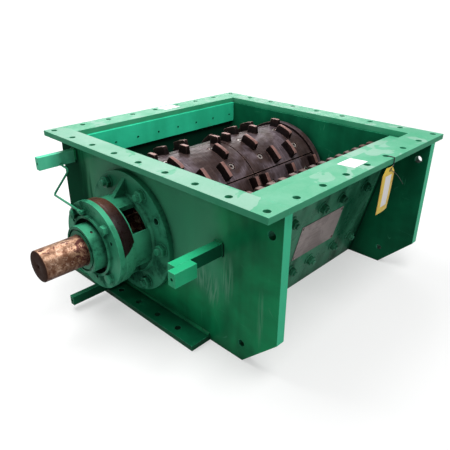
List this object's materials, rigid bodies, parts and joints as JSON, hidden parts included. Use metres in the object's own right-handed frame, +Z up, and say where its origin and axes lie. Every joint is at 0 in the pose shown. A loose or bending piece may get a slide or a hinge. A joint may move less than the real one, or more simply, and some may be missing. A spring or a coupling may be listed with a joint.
{
  "type": "single roll crusher",
  "caption": "Single roll crusher: flanged steel housing, toothed roll on a through shaft, sloped breaker comb, stand-off bearings",
  "frame": {"origin": "at floor level in the middle of the base bolt holes, which is the centre of the outlet", "axes": "+X towards the sloped breaker wall, -Y towards the drive end of the shaft, +Z up"},
  "size_m": [0.8632, 1.1584, 0.4396],
  "materials": {
    "green_paint": "glossy machine enamel over steel plate",
    "green_fitting": "glossy machine enamel over castings and bar",
    "worn_roll": "dark worn manganese steel with rusty edges",
    "rusty_comb": "rusty brown steel",
    "rusty_shaft": "bare steel with blotchy light rust",
    "rusty_cartridge": "red-brown rusty iron",
    "bare_plate": "dull blank plate",
    "yellow_tag": "matt yellow card with a blank white strip",
    "black_tie": "black nylon"
  },
  "bodies": {
    "housing": {"inlet_bar_drive": "green_paint", "inlet_bar_far": "green_paint", "inlet_bar_breaker": "green_paint", "inlet_bar_back": "green_paint", "end_plate_drive": "green_paint", "end_plate_far": "green_paint", "back_wall": "green_paint", "breaker_wall": "green_paint", "breaker_rail": "green_paint", "deflector": "green_paint", "breaker_plate": "rusty_comb", "comb_1": "rusty_comb", "comb_2": "rusty_comb", "comb_3": "rusty_comb", "breaker_nuts": "green_fitting", "base_bar_drive": "green_paint", "base_bar_far": "green_paint", "bracket_drive": "green_fitting", "bracket_far": "green_fitting", "cartridge_drive": "rusty_cartridge", "cartridge_far": "rusty_cartridge", "bearing_flange_drive": "green_fitting", "bearing_flange_far": "green_fitting", "bearing_bolts_drive": "green_fitting", "bearing_bolts_far": "green_fitting", "guard_bar_upper": "green_fitting", "guard_bar_lower": "green_fitting", "guard_bar_side": "green_fitting", "guard_block": "green_fitting", "grease_line": "green_fitting", "nameplate": "bare_plate", "tag": "yellow_tag", "tag_tie": "black_tie"},
    "roll": {"shaft": "rusty_shaft", "collar_drive": "green_fitting", "collar_far": "green_fitting", "drum": "worn_roll", "end_ring_drive": "worn_roll", "end_ring_far": "worn_roll", "segment_1": "worn_roll", "segment_2": "worn_roll", "segment_3": "worn_roll", "segment_4": "worn_roll", "segment_5": "worn_roll", "segment_6": "worn_roll"}
  },
  "joints": [
    {"name": "roll_spin", "type": "hinge", "parent": "housing", "child": "roll", "pos_m": [-0.011, 0, 0.212], "axis": [0, 1, 0], "continuous": true}
  ]
}
